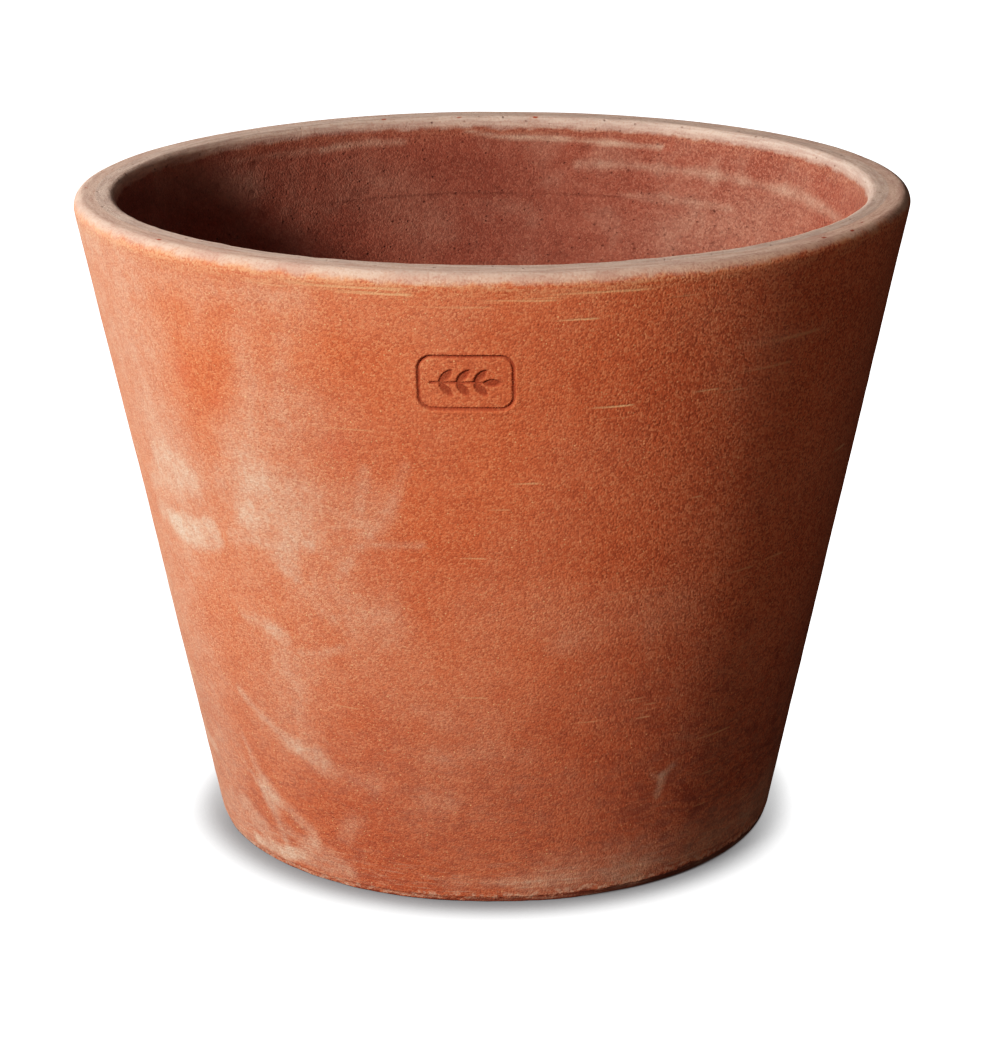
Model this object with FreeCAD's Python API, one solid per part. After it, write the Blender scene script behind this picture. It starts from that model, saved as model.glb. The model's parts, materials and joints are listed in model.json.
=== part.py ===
"""Conical garden pot in unglazed terracotta.

Frame: millimetres, +Z up, origin at the centre of the underside. The maker's seal
faces -Y.

A fired pot is one body of clay. It is modelled as the three pieces of clay that
the potter joins while they are wet, face to face along their luted seams:
  floor_slab  round slab with the drain hole; its edge is bevelled for the wall
  wall        conical wall, pressed down over the slab's bevelled edge
  rim         lip, a last roll of clay dressed round on both edges
"""

import FreeCAD, Part
import math
import os

V = FreeCAD.Vector

# ---- driving dimensions -----------------------------------------------------
OVERALL_DIAMETER = 400.0     # widest point, on the outside of the lip
HEIGHT = 315.0
WALL_LEAN = 11.1             # degrees from upright, outside and inside alike
WALL_THICKNESS = 20.4        # square to the wall
FLOOR_THICKNESS = 22.0

LIP_OUTER_RADIUS = 5.0
LIP_INNER_RADIUS = 4.3
RIM_SEAM_OUTSIDE = 15.0      # below the top of the pot
RIM_SEAM_INSIDE = 40.0       # the seam slopes down to the line that shows inside

FOOT_BEVEL_WIDTH = 2.6       # scraped edge under the wall
FOOT_BEVEL_HEIGHT = 3.4
CORNER_RADIUS = 18.0         # clay smeared into the corner of wall and floor

DRAIN_HOLE_DIAMETER = 32.0
DRAIN_EDGE_BEVEL = 1.5

SEAL_HEIGHT = 266.0          # centre of the maker's seal above the ground
SEAL_WIDTH = 42.0
SEAL_LENGTH_UP = 26.0        # along the slope of the wall
SEAL_CORNER_RADIUS = 6.5
SEAL_LINE_WIDTH = 1.3
SEAL_IMPRESSION = 0.9        # how deep the stamp went into the clay
SPRIG_LENGTH = 31.0
STEM_WIDTH = 1.2
LEAF_PAIRS = 3
LEAF_LENGTH = 8.6
LEAF_WIDTH = 3.4
LEAF_LEAN = 46.0             # degrees between a leaf and the stem
STAMP_CLEARANCE = 1.0        # how far the cutter stands out of the wall

# ---- worked out from them ----------------------------------------------------
LEAN = math.radians(WALL_LEAN)
TAN_LEAN = math.tan(LEAN)
COS_LEAN = math.cos(LEAN)
WALL_ACROSS = WALL_THICKNESS / COS_LEAN      # thickness on the level
# The outside line is placed so that the rounded lip is exactly as wide as the pot.
TOP_CORNER_RADIUS = OVERALL_DIAMETER / 2 + LIP_OUTER_RADIUS * (TAN_LEAN + 1 / COS_LEAN - 1)
BASE_CORNER_RADIUS = TOP_CORNER_RADIUS - HEIGHT * TAN_LEAN


def outer(z):
    """Radius of the outside of the wall at height z."""
    return BASE_CORNER_RADIUS + z * TAN_LEAN


def inner(z):
    """Radius of the inside of the wall at height z, above the rounded corner."""
    return outer(z) - WALL_ACROSS


def at(radius, z):
    """Point of a profile, in the half plane where the turning starts."""
    return V(radius, 0, z)


def line(a, b):
    return Part.LineSegment(a, b).toShape()


def arc(a, middle, b):
    return Part.Arc(a, middle, b).toShape()


def on_circle(centre, radius, degrees):
    q = math.radians(degrees)
    return at(centre.x + radius * math.cos(q), centre.z + radius * math.sin(q))


def polygon(points):
    """Closed run of straight edges."""
    return [line(a, b) for a, b in zip(points, points[1:] + points[:1])]


def turned(edges):
    """Solid of revolution about Z from a closed profile."""
    face = Part.Face(Part.Wire(edges))
    return face.revolve(V(0, 0, 0), V(0, 0, 1), 360)


# ---- points shared by pieces that meet ---------------------------------------
FOOT_SEAM = at(outer(FOOT_BEVEL_HEIGHT), FOOT_BEVEL_HEIGHT)

# The inside corner is an arc between the floor's top and the inside of the wall.
CORNER_CENTRE = at(
    inner(FLOOR_THICKNESS + CORNER_RADIUS) - CORNER_RADIUS / COS_LEAN,
    FLOOR_THICKNESS + CORNER_RADIUS,
)
CORNER_ON_FLOOR = at(CORNER_CENTRE.x, FLOOR_THICKNESS)
CORNER_ON_WALL = on_circle(CORNER_CENTRE, CORNER_RADIUS, -WALL_LEAN)
CORNER_MIDDLE = on_circle(CORNER_CENTRE, CORNER_RADIUS, (-90 - WALL_LEAN) / 2)

RIM_SEAM_OUT = at(outer(HEIGHT - RIM_SEAM_OUTSIDE), HEIGHT - RIM_SEAM_OUTSIDE)
RIM_SEAM_IN = at(inner(HEIGHT - RIM_SEAM_INSIDE), HEIGHT - RIM_SEAM_INSIDE)


def make_floor_slab():
    hole = DRAIN_HOLE_DIAMETER / 2
    bevel = DRAIN_EDGE_BEVEL
    return turned(polygon([
        at(hole + bevel, 0),
        at(FOOT_SEAM.x - FOOT_BEVEL_WIDTH, 0),
        FOOT_SEAM,
        CORNER_ON_FLOOR,
        at(hole + bevel, FLOOR_THICKNESS),
        at(hole, FLOOR_THICKNESS - bevel),
        at(hole, bevel),
    ]))


def make_wall():
    body = turned([
        line(FOOT_SEAM, RIM_SEAM_OUT),
        line(RIM_SEAM_OUT, RIM_SEAM_IN),
        line(RIM_SEAM_IN, CORNER_ON_WALL),
        arc(CORNER_ON_WALL, CORNER_MIDDLE, CORNER_ON_FLOOR),
        line(CORNER_ON_FLOOR, FOOT_SEAM),
    ])
    return body.cut(make_seal_cutter())


def make_rim():
    """Lip with a rounding on each edge, tangent to the wall and to the flat top."""
    out_z = HEIGHT - LIP_OUTER_RADIUS
    out_centre = at(outer(out_z) - LIP_OUTER_RADIUS / COS_LEAN, out_z)
    out_low = on_circle(out_centre, LIP_OUTER_RADIUS, -WALL_LEAN)
    out_mid = on_circle(out_centre, LIP_OUTER_RADIUS, (90 - WALL_LEAN) / 2)
    out_top = on_circle(out_centre, LIP_OUTER_RADIUS, 90)

    in_z = HEIGHT - LIP_INNER_RADIUS
    in_centre = at(inner(in_z) + LIP_INNER_RADIUS / COS_LEAN, in_z)
    in_top = on_circle(in_centre, LIP_INNER_RADIUS, 90)
    in_mid = on_circle(in_centre, LIP_INNER_RADIUS, (270 - WALL_LEAN) / 2)
    in_low = on_circle(in_centre, LIP_INNER_RADIUS, 180 - WALL_LEAN)
    return turned([
        line(RIM_SEAM_OUT, out_low),
        arc(out_low, out_mid, out_top),
        line(out_top, in_top),
        arc(in_top, in_mid, in_low),
        line(in_low, RIM_SEAM_IN),
        line(RIM_SEAM_IN, RIM_SEAM_OUT),
    ])


# ---- maker's seal: a plain leaf sprig in a frame with rounded corners --------
def on_stamp(along, up):
    """Point of the stamp's face: along to the right, up the slope of the wall."""
    return V(along, 0, SEAL_HEIGHT + up * COS_LEAN)


def driven(wire):
    """Solid of a stamp's outline driven through the front of the wall."""
    return Part.Face(wire).extrude(V(0, -OVERALL_DIAMETER, 0))


def rounded_rectangle(width, height, radius):
    corners = []
    for start, right, top in ((0, 1, 1), (90, -1, 1), (180, -1, -1), (270, 1, -1)):
        points = []
        for turn in (0, 45, 90):
            q = math.radians(start + turn)
            along = right * (width / 2 - radius) + radius * math.cos(q)
            up = top * (height / 2 - radius) + radius * math.sin(q)
            points.append(on_stamp(along, up))
        corners.append(points)
    edges = []
    for this, following in zip(corners, corners[1:] + corners[:1]):
        edges.append(arc(*this))
        edges.append(line(this[-1], following[0]))
    return Part.Wire(edges)


def leaf(along, degrees):
    """Pointed leaf that grows from the stem, its two edges arcs."""
    q = math.radians(degrees)
    run, rise = math.cos(q), math.sin(q)
    belly = LEAF_WIDTH / 2
    half = LEAF_LENGTH / 2
    root = on_stamp(along, 0)
    tip = on_stamp(along + LEAF_LENGTH * run, LEAF_LENGTH * rise)
    left = on_stamp(along + half * run - belly * rise, half * rise + belly * run)
    right = on_stamp(along + half * run + belly * rise, half * rise - belly * run)
    return Part.Wire([arc(root, left, tip), arc(tip, right, root)])


def stem(start, end):
    half = STEM_WIDTH / 2
    points = [on_stamp(start, -half), on_stamp(end, -half), on_stamp(end, half), on_stamp(start, half)]
    return Part.makePolygon(points + points[:1])


def make_seal_cutter():
    """The stamp's raised lines, cut off at the depth they reach in the clay."""
    border = driven(rounded_rectangle(SEAL_WIDTH, SEAL_LENGTH_UP, SEAL_CORNER_RADIUS))
    field = driven(rounded_rectangle(
        SEAL_WIDTH - 2 * SEAL_LINE_WIDTH,
        SEAL_LENGTH_UP - 2 * SEAL_LINE_WIDTH,
        SEAL_CORNER_RADIUS - SEAL_LINE_WIDTH,
    ))
    stem_start = -SPRIG_LENGTH / 2
    stem_end = SPRIG_LENGTH / 2 - LEAF_LENGTH
    leaves = [leaf(stem_end, 0)]
    spacing = (stem_end - stem_start) / LEAF_PAIRS
    for pair in range(LEAF_PAIRS):
        along = stem_start + spacing * (pair + 0.5)
        leaves += [leaf(along, LEAF_LEAN), leaf(along, -LEAF_LEAN)]
    # The tip leaf starts a little way down the stem, so the two are one line.
    sprig = driven(stem(stem_start, stem_end + STEM_WIDTH))
    for outline in leaves:
        sprig = sprig.fuse(driven(outline))

    # A conical skin as thick as the impression keeps the depth even round the wall.
    low = SEAL_HEIGHT - SEAL_LENGTH_UP
    high = SEAL_HEIGHT + SEAL_LENGTH_UP
    sunk = SEAL_IMPRESSION / COS_LEAN
    skin = turned(polygon([
        at(outer(low) - sunk, low),
        at(outer(low) + STAMP_CLEARANCE, low),
        at(outer(high) + STAMP_CLEARANCE, high),
        at(outer(high) - sunk, high),
    ]))
    return Part.makeCompound([border.cut(field).common(skin), sprig.common(skin)])


def main():
    os.makedirs("parts", exist_ok=True)
    pieces = {
        "floor_slab": make_floor_slab(),
        "wall": make_wall(),
        "rim": make_rim(),
    }
    for name, piece in pieces.items():
        shape = piece.Solids[0]
        shape.exportStep("parts/%s.step" % name)
        box = shape.optimalBoundingBox(False, False)
        print("%-11s %d solid, valid %s, %.1f cm3, z %.1f to %.1f, %.1f wide" % (
            name, len(piece.Solids), shape.isValid(), shape.Volume / 1000,
            box.ZMin, box.ZMax, box.XLength))
    total = sum(piece.Volume for piece in pieces.values())
    print("clay in the pot: %.1f cm3" % (total / 1000))


main()
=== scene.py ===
"""Conical terracotta pot: its meshes, its clay and a plain studio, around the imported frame.

Metres, +Z up, the maker's seal faces -Y. Angles round the pot are in degrees: 0 at the
seal, growing towards +X. Marks on the clay are placed by that angle and by height.
"""

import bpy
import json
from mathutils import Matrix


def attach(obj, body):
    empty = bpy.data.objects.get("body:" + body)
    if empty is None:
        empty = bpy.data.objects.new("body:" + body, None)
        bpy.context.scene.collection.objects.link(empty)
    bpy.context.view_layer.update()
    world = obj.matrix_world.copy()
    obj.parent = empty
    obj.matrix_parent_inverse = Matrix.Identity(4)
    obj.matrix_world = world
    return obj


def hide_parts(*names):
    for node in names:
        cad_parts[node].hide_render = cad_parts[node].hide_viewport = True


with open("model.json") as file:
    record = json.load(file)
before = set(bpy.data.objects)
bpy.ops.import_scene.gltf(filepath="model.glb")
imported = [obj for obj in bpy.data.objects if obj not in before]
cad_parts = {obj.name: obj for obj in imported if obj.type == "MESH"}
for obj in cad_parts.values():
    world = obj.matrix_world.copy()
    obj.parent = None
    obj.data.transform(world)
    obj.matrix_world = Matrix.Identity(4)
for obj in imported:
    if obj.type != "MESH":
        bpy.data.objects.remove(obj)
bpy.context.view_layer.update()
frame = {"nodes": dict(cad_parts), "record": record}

import json
import math
from types import SimpleNamespace

import bpy
import numpy as np
from mathutils import Matrix, Vector

MM = 0.001
RNG = np.random.default_rng(20)


# ---- sizes, read from the frame ----
def ring_points(node):
    """Distance from the axis and height of every point of a CAD node."""
    points = np.array([v.co for v in frame["nodes"][node].data.vertices])
    return np.hypot(points[:, 0], points[:, 1]), points[:, 2]


def drain_hole_radius():
    for mount in frame["record"]["mounts"]:
        if mount["name"] == "drain_hole":
            return mount["dims"]["r_mm"] * MM
    raise ValueError("the record has no drain_hole mount")


floor_r, floor_z = ring_points("floor_slab")
wall_r, wall_z = ring_points("wall")
rim_r, rim_z = ring_points("rim")

HEIGHT = rim_z.max()
FOOT_SEAM_Z = wall_z.min()
FLOOR_TOP = floor_z.max()
RIM_SEAM_OUT_Z = wall_z.max()
RIM_SEAM_IN_Z = rim_z.min()
SLOPE = (wall_r.max() - floor_r.max()) / (RIM_SEAM_OUT_Z - FOOT_SEAM_Z)
LEAN = math.atan(SLOPE)
OUTER_AT_GROUND = floor_r.max() - FOOT_SEAM_Z * SLOPE
INNER_AT_GROUND = rim_r.min() - RIM_SEAM_IN_Z * SLOPE
CORNER_START_R = wall_r.min()                 # where the rounded corner leaves the floor
FOOT_R = floor_r[floor_z < 1e-6].max()
DRAIN_R = drain_hole_radius()
DRAIN_EDGE = floor_r[floor_z < 1e-6].min() - DRAIN_R
CORNER_RADIUS = ((INNER_AT_GROUND + FLOOR_TOP * SLOPE - CORNER_START_R)
                 * math.cos(LEAN) / (1 - math.sin(LEAN)))
LIP_OUTER_RADIUS = 5.0 * MM
LIP_INNER_RADIUS = 4.3 * MM

# ---- the maker's seal, as the CAD part has it ----
SEAL_Z = 266.0 * MM
SEAL_WIDTH = 42.0 * MM
SEAL_LENGTH_UP = 26.0 * MM
SEAL_CORNER_RADIUS = 6.5 * MM
SEAL_LINE_WIDTH = 1.3 * MM
SEAL_IMPRESSION = 0.9 * MM
SPRIG_LENGTH = 31.0 * MM
STEM_WIDTH = 1.2 * MM
LEAF_PAIRS = 3
LEAF_LENGTH = 8.6 * MM
LEAF_WIDTH = 3.4 * MM
LEAF_LEAN = 46.0

# ---- mesh density ----
SEAL_STEP = 0.38 * MM
OUTSIDE_STEP = 1.7 * MM
INSIDE_STEP = 1.5 * MM
DEEP_STEP = 3.0 * MM
HIDDEN_STEP = 4.0 * MM
DEEP_BELOW = 200 * MM                         # the inside is meshed more coarsely below this
COLUMN_STEP = 0.5                             # degrees, away from the seal
SEAL_MARGIN = 5.0 * MM                        # finely meshed border round the seal
CREASE = 3.0 * MM                             # finely meshed border of the rim's inside joint


def outer(z):
    return OUTER_AT_GROUND + z * SLOPE


def inner(z):
    return INNER_AT_GROUND + z * SLOPE


# ---- outline of the whole pot, from the rounded corner inwards and round ----
class Outline:
    """Rows of points (radius, height) along the pot's section, with named places."""

    def __init__(self, r, z):
        self.points = [(r, z)]
        self.places = {}

    def straight(self, r, z, step):
        r0, z0 = self.points[-1]
        count = max(1, round(math.hypot(r - r0, z - z0) / step))
        for i in range(1, count + 1):
            self.points.append((r0 + (r - r0) * i / count, z0 + (z - z0) * i / count))

    def round(self, centre_r, centre_z, radius, start, end, step):
        """Arc from start to end, in degrees from the outward direction."""
        count = max(2, round(radius * math.radians(abs(end - start)) / step))
        for i in range(1, count + 1):
            q = math.radians(start + (end - start) * i / count)
            self.points.append((centre_r + radius * math.cos(q), centre_z + radius * math.sin(q)))

    def name(self, place):
        self.places[place] = len(self.points) - 1


def pot_outline():
    lean = math.degrees(LEAN)
    line = Outline(CORNER_START_R, FLOOR_TOP)
    line.name("floor_corner")
    line.straight(DRAIN_R + DRAIN_EDGE, FLOOR_TOP, DEEP_STEP)
    line.name("hole_top")
    line.straight(DRAIN_R, FLOOR_TOP - DRAIN_EDGE, DRAIN_EDGE / 2)
    line.straight(DRAIN_R, DRAIN_EDGE, DEEP_STEP)
    line.straight(DRAIN_R + DRAIN_EDGE, 0, DRAIN_EDGE / 2)
    line.name("hole_bottom")
    line.straight(FOOT_R, 0, HIDDEN_STEP)
    line.name("foot_edge")
    line.straight(outer(FOOT_SEAM_Z), FOOT_SEAM_Z, 0.7 * MM)
    line.name("foot_seam")
    line.straight(outer(12 * MM), 12 * MM, 1.0 * MM)
    low = SEAL_Z - (SEAL_LENGTH_UP / 2 + SEAL_MARGIN) * math.cos(LEAN)
    high = SEAL_Z + (SEAL_LENGTH_UP / 2 + SEAL_MARGIN) * math.cos(LEAN)
    line.straight(outer(low), low, OUTSIDE_STEP)
    line.straight(outer(high), high, SEAL_STEP)
    line.straight(outer(RIM_SEAM_OUT_Z), RIM_SEAM_OUT_Z, 1.2 * MM)
    line.name("rim_seam_out")
    out_z = HEIGHT - LIP_OUTER_RADIUS
    out_r = outer(out_z) - LIP_OUTER_RADIUS / math.cos(LEAN)
    in_z = HEIGHT - LIP_INNER_RADIUS
    in_r = inner(in_z) + LIP_INNER_RADIUS / math.cos(LEAN)
    lip_z = out_z - LIP_OUTER_RADIUS * math.sin(LEAN)
    line.straight(outer(lip_z), lip_z, 1.0 * MM)
    line.round(out_r, out_z, LIP_OUTER_RADIUS, -lean, 90, 0.9 * MM)
    line.straight((out_r + in_r) / 2, HEIGHT, 1.2 * MM)
    line.name("lip_middle")
    line.straight(in_r, HEIGHT, 1.2 * MM)
    line.round(in_r, in_z, LIP_INNER_RADIUS, 90, 180 - lean, 0.9 * MM)
    line.straight(inner(RIM_SEAM_IN_Z + CREASE), RIM_SEAM_IN_Z + CREASE, 1.4 * MM)
    line.straight(inner(RIM_SEAM_IN_Z), RIM_SEAM_IN_Z, 0.5 * MM)
    line.name("rim_seam_in")
    line.straight(inner(RIM_SEAM_IN_Z - CREASE), RIM_SEAM_IN_Z - CREASE, 0.5 * MM)
    line.straight(inner(DEEP_BELOW), DEEP_BELOW, INSIDE_STEP)
    corner_z = FLOOR_TOP + CORNER_RADIUS
    line.straight(inner(corner_z - CORNER_RADIUS * math.sin(LEAN)),
                  corner_z - CORNER_RADIUS * math.sin(LEAN), DEEP_STEP)
    line.round(CORNER_START_R, corner_z, CORNER_RADIUS, -lean, -90, DEEP_STEP)
    line.points.pop()                         # the outline closes on its first point
    return line


def column_angles():
    """Angles of the mesh's columns, close together across the seal."""
    reach = math.degrees((SEAL_WIDTH / 2 + SEAL_MARGIN) / outer(SEAL_Z))
    fine = 2 * round(reach / math.degrees(SEAL_STEP / outer(SEAL_Z)))
    coarse = round((360 - 2 * reach) / COLUMN_STEP)
    near = np.linspace(-reach, reach, fine, endpoint=False)
    far = np.linspace(reach, 360 - reach, coarse, endpoint=False)
    return np.concatenate([near, far])


LINE = pot_outline()
PLACE = LINE.places
ROW = np.array(LINE.points)
ROW_R, ROW_Z = ROW[:, 0], ROW[:, 1]
ANGLE = column_angles()
TURN = np.radians(ANGLE)


def row_normals():
    """Direction across the outline at each row, out of the clay, and the length along it."""
    before = np.roll(ROW, 1, axis=0)
    after = np.roll(ROW, -1, axis=0)
    step_in = ROW - before
    step_out = after - ROW
    unit_in = step_in / np.linalg.norm(step_in, axis=1)[:, None]
    unit_out = step_out / np.linalg.norm(step_out, axis=1)[:, None]
    along = unit_in + unit_out
    along /= np.linalg.norm(along, axis=1)[:, None]
    lengths = np.concatenate([[0], np.cumsum(np.linalg.norm(step_in[1:], axis=1))])
    return np.stack([along[:, 1], -along[:, 0]], axis=1), lengths


NORMAL, LENGTH = row_normals()


def placed(offset=0.0):
    """Grid of points, rows by columns, moved out of the clay by offset."""
    radius = ROW_R[:, None] + NORMAL[:, :1] * offset
    height = ROW_Z[:, None] + NORMAL[:, 1:] * offset
    return np.stack([radius * np.sin(TURN), -radius * np.cos(TURN), height + 0 * TURN], axis=-1)


BASE = placed()
ROW_ID = np.arange(len(ROW))
IS_OUTSIDE = (ROW_ID >= PLACE["foot_edge"]) & (ROW_ID <= PLACE["lip_middle"])
IS_INSIDE = (ROW_ID > PLACE["lip_middle"]) | (ROW_ID < PLACE["hole_top"])


# ---- noise and soft steps ----
def step(low, high, value):
    """0 below low, 1 above high, smooth between; low may be the larger one."""
    t = np.clip((value - low) / (high - low), 0, 1)
    return t * t * (3 - 2 * t)


def lattice(x, y, z, seed):
    """Repeatable random value from -1 to 1 for each point of a whole-number grid."""
    mask = np.uint64(0xFFFFFFFF)
    h = (x.astype(np.int64) * 374761393 + y.astype(np.int64) * 668265263
         + z.astype(np.int64) * 1440662683 + seed * 1013904223).astype(np.uint64) & mask
    h = ((h ^ (h >> np.uint64(13))) * np.uint64(1274126177)) & mask
    h = h ^ (h >> np.uint64(16))
    return h.astype(float) / float(0xFFFFFFFF) * 2 - 1


def lumps(points, size, seed, flatten=1.0):
    """Smooth noise from -1 to 1 with lumps of about that size; flatten squeezes their height."""
    q = points / size
    q = np.stack([q[..., 0], q[..., 1], q[..., 2] * flatten], axis=-1)
    cell = np.floor(q)
    f = q - cell
    f = f * f * (3 - 2 * f)
    total = 0
    for dx in (0, 1):
        for dy in (0, 1):
            for dz in (0, 1):
                weight = (np.abs(1 - dx - f[..., 0]) * np.abs(1 - dy - f[..., 1])
                          * np.abs(1 - dz - f[..., 2]))
                total = total + weight * lattice(
                    cell[..., 0] + dx, cell[..., 1] + dy, cell[..., 2] + dz, seed)
    return total


def angle_between(angle, other):
    """Difference of two angles, from -180 to 180."""
    return (angle - other + 180) % 360 - 180


# ---- marks painted on the clay ----
FAR = 999.0                    # mm, for points that a mark doesn't reach
NO_SCRATCH = 9.0               # half widths from a scratch, where there is none
SCRATCH_REACH = 5.0            # mm round a scratch that its pattern covers


def beyond_stroke(points, start_width, end_width, inside):
    """Distance in mm past the edge of a stroke through points (angle, height in mm)."""
    side = inner if inside else outer
    best = np.full((len(ROW), len(ANGLE)), FAR)
    count = len(points) - 1
    for i in range(count):
        (a0, z0), (a1, z1) = points[i], points[i + 1]
        level = side((z0 + z1) / 2 * MM) / MM
        x = np.radians(angle_between(ANGLE, a0))[None, :] * level
        y = (ROW_Z[:, None] / MM - z0) / math.cos(LEAN)
        dx = math.radians(angle_between(a1, a0)) * level
        dy = (z1 - z0) / math.cos(LEAN)
        t = np.clip((x * dx + y * dy) / (dx * dx + dy * dy), 0, 1)
        width = start_width + (end_width - start_width) * (i + t) / count
        best = np.minimum(best, np.hypot(x - t * dx, y - t * dy) - width)
    rows = IS_INSIDE if inside else IS_OUTSIDE
    return np.where(rows[:, None], best, FAR)


# Pale lime bloom on the outside, with painted sheen towards the left edge. Each mark: strength,
# softness of its edge in mm, half width at its start and at its end in mm, and the points it runs
# through.
BLOOM_AND_SHEEN = [
    # broad haze over the left half: partly lime bloom, partly painted sheen towards the left edge
    (0.23, 30, 70, 70, [(-76, 10), (-74, 260)]),
    (0.14, 20, 20, 20, [(-54, 165), (-51, 285)]),
    (0.14, 26, 26, 30, [(-34, 90), (-40, 200)]),
    (0.12, 22, 24, 22, [(-24, 240), (-16, 130)]),
    (0.08, 30, 24, 20, [(-8, 60), (2, 150)]),
    (0.16, 10, 8, 8, [(-80, 300), (-22, 302)]),
    (0.06, 14, 10, 10, [(-30, 300), (0, 300)]),
    # prints of two fingers and a hand
    (0.26, 5, 7, 8.5, [(-57, 203), (-52, 206), (-49, 204)]),
    (0.20, 8, 6, 5, [(-60, 190), (-55, 196), (-47, 198)]),
    (0.30, 4, 4, 6, [(-60, 176), (-54, 172), (-48, 171)]),
    (0.38, 2.2, 6.5, 8.5, [(-56, 172), (-50, 172), (-45, 174)]),
    (0.20, 9, 14, 17, [(-35, 205), (-28, 197)]),
    (0.12, 8, 12, 9, [(-34, 228), (-33, 208)]),
    (0.16, 6, 10, 12, [(-33, 206), (-26, 207)]),
    (0.14, 3, 7, 8, [(-34, 193), (-25, 190)]),
    (0.24, 4, 10, 6, [(-34, 188), (-30, 179), (-28.5, 168)]),
    (0.16, 3, 3, 2.5, [(-39, 178), (-30, 179), (-24, 182)]),
    (0.12, 12, 20, 20, [(-31, 230), (-27, 252)]),
    (0.12, 9, 5, 4, [(-39, 276), (-37, 290)]),
    (0.10, 12, 8, 8, [(-32, 280), (-22, 285)]),
    (0.10, 8, 5, 4, [(-31, 262), (-30, 286)]),
    (0.08, 6, 4, 4, [(-25, 262), (-24, 280)]),
    (0.16, 3, 2.0, 1.5, [(-14.5, 223), (-15.5, 204)]),
    (0.14, 3, 1.5, 2.0, [(-8.5, 226), (-11, 205), (-15, 190)]),
    (0.16, 3, 2.0, 2.5, [(-15, 190), (-18, 178), (-20, 171)]),
    (0.20, 1.8, 0.6, 1.0, [(-20, 183), (-14, 186.5), (-7, 188)]),
    (0.14, 2, 1.2, 1.2, [(-20, 193), (-15, 197)]),
    (0.10, 9, 12, 10, [(-22, 188), (-14, 206)]),
    (0.12, 12, 10, 12, [(-24, 160), (-14, 148)]),
    # smears below the hand
    (0.22, 4, 1.5, 5, [(-41, 137), (-37, 136), (-34, 133)]),
    (0.24, 3, 3, 4, [(-35, 135), (-32, 131)]),
    (0.24, 2.5, 1.5, 2.0, [(-29, 126), (-25, 127), (-21, 132)]),
    (0.12, 3, 2, 3, [(-24, 149), (-22, 146)]),
    (0.12, 7, 5, 3, [(-33, 122), (-31, 104), (-32, 86)]),
    (0.08, 10, 10, 8, [(-30, 118), (-22, 112)]),
    (0.32, 3.0, 1.0, 4.5, [(-46, 94), (-40, 82), (-34, 73.5)]),
    (0.24, 5, 4.5, 5, [(-34, 73.5), (-29, 68)]),
    (0.12, 6, 5, 4, [(-29, 68), (-24, 65), (-19, 61)]),
    # forked run near the foot
    (0.24, 2.5, 0.8, 3.5, [(-48.5, 68), (-46.5, 54), (-44.5, 42)]),
    (0.18, 2.5, 0.8, 3.0, [(-50, 52), (-46.5, 43), (-44, 34)]),
    (0.26, 4, 5, 2.5, [(-44.5, 42), (-43, 30), (-41.5, 14)]),
    (0.22, 3, 1.5, 4.0, [(-44, 41), (-38, 34), (-34, 28), (-33, 20)]),
    (0.24, 4, 2, 4.5, [(-40, 21), (-35, 17), (-30, 15)]),
    (0.14, 4, 3, 3, [(-26, 29), (-23, 38)]),
    (0.30, 5, 4, 4, [(-54, 24), (-46, 16)]),
    (0.30, 2.5, 1.2, 1.5, [(-53, 17), (-47, 11), (-43, 5)]),
    (0.46, 3, 3.5, 3, [(-52, 7), (-43, 7), (-38, 11)]),
    (0.22, 4, 3, 3, [(-36, 10), (-32, 8), (-26, 8)]),
    (0.34, 4, 4, 3, [(-74, 48), (-64, 48)]),
    # small dull patches in front and on the right
    (0.08, 7, 6, 5, [(-6, 78), (4, 82)]),
    (0.06, 4, 2, 2, [(8.5, 84), (8, 62)]),
    (0.07, 5, 5, 4, [(-8, 57), (-5, 56)]),
    (0.07, 5, 4, 4, [(-9, 102), (-4, 98)]),
    (0.07, 6, 5, 4, [(13, 137), (17, 138)]),
    (0.08, 5, 3, 2, [(28, 140), (28.5, 126)]),
    (0.07, 14, 12, 14, [(14, 150), (34, 150)]),
    (0.12, 6, 1.5, 2.5, [(38, 274), (45, 273), (54, 272)]),
    (0.44, 2.5, 1.8, 0.5, [(34.3, 60), (34.0, 49)]),
    (0.30, 2.0, 0.8, 0.8, [(31.5, 63), (34, 58), (36.5, 64)]),
    # rubbed zone just above the foot
    (0.12, 4, 3, 3, [(-6, 11), (30, 11), (80, 12)]),
    (0.20, 2.5, 1.2, 1.2, [(1, 11.5), (11, 11)]),
    (0.16, 12, 10, 12, [(14, 12), (44, 16), (78, 20)]),
]

# Pale rubbed rings and spots on the inside, the same way.
INSIDE_BLOOM = [
    (0.44, 1.5, 1.0, 1.4, [(188, 308), (182, 304.5), (172, 304), (158, 302.5), (153, 303)]),
    (0.32, 2, 1.4, 1.2, [(214, 302.5), (207, 304), (199, 303)]),
    (0.20, 2, 1.2, 1.2, [(232, 303), (214, 302.5)]),
    (0.20, 10, 10, 9, [(252, 302), (230, 291)]),
    (0.24, 3.0, 1.6, 2.2, [(168, 291), (155, 292), (140, 292), (118, 291), (100, 287)]),
    (0.08, 4, 3, 2, [(142, 298), (142, 288)]),
    (0.10, 4, 6, 5, [(164, 296), (158, 294)]),
    (0.12, 1.5, 1.8, 1.8, [(137, 276.5), (160, 276.5)]),
    (0.08, 14, 16, 14, [(196, 262), (206, 284)]),
    (0.08, 12, 16, 14, [(120, 282), (150, 256)]),
    (0.10, 12, 14, 10, [(60, 230), (20, 214), (-20, 236)]),
    (0.10, 12, 14, 20, [(-60, 180), (-90, 150)]),
    (0.12, 12, 16, 16, [(80, 120), (130, 96), (190, 110)]),
]

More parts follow.
